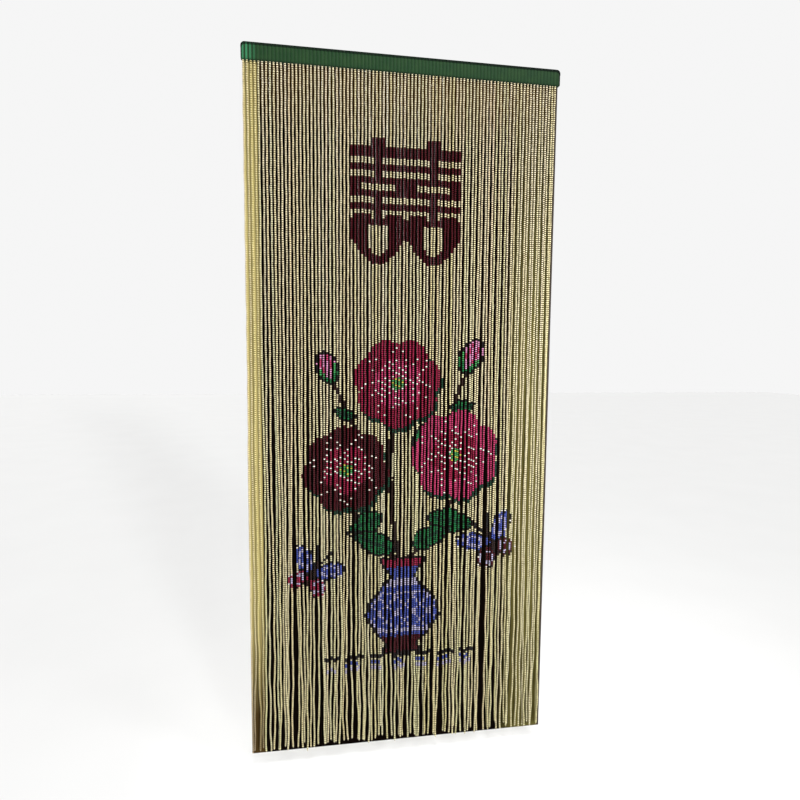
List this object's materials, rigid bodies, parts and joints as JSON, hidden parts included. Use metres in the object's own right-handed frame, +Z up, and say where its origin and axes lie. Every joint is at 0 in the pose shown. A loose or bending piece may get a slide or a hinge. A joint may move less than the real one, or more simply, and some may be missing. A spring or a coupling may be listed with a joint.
{
  "type": "bead curtain",
  "caption": "Doorway curtain of many hanging bead strings under a ribbed header rail, held along its top edge.",
  "frame": {"origin": "middle of the header rail's flat top, where the curtain is held", "axes": "+Z up, the curtain hangs along -Z, its front faces -Y, +X to the right seen from the front"},
  "size_m": [0.9, 0.0156, 2.0198],
  "materials": {
    "rail_plastic": "green moulded plastic, satin gloss",
    "bead_plastic": "small glossy plastic beads, cream with coloured beads in the ornament"
  },
  "bodies": {
    "root": {"header_rail": "rail_plastic", "bead_strings": "bead_plastic"}
  },
  "joints": []
}
